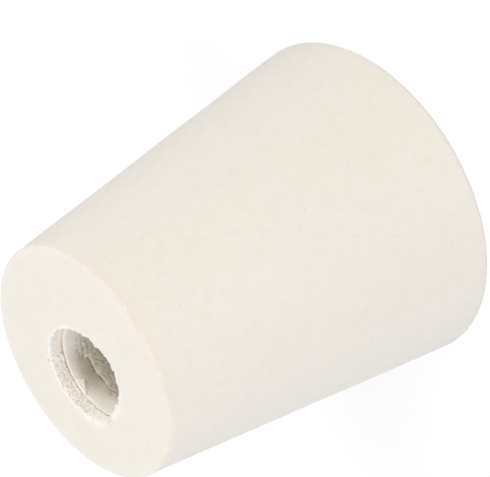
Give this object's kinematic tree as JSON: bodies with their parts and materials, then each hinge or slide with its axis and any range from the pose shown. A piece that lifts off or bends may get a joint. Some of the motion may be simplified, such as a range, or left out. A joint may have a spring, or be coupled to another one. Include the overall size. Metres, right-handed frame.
{
  "type": "rubber stopper",
  "caption": "Tapered round laboratory stopper of cream-white rubber with a bore through it, which plugs the neck of a flask or bottle and grips a glass tube.",
  "frame": {"origin": "centre of the wide end's face", "axes": "+Z along the body's axis, from the wide end to the narrow end; +X towards the side on which the bore lies off the axis"},
  "size_m": [0.024, 0.024, 0.026],
  "materials": {
    "rubber": "moulded cream-white rubber, matt, with fine pits"
  },
  "bodies": {
    "root": {"stopper": "rubber"}
  },
  "joints": []
}
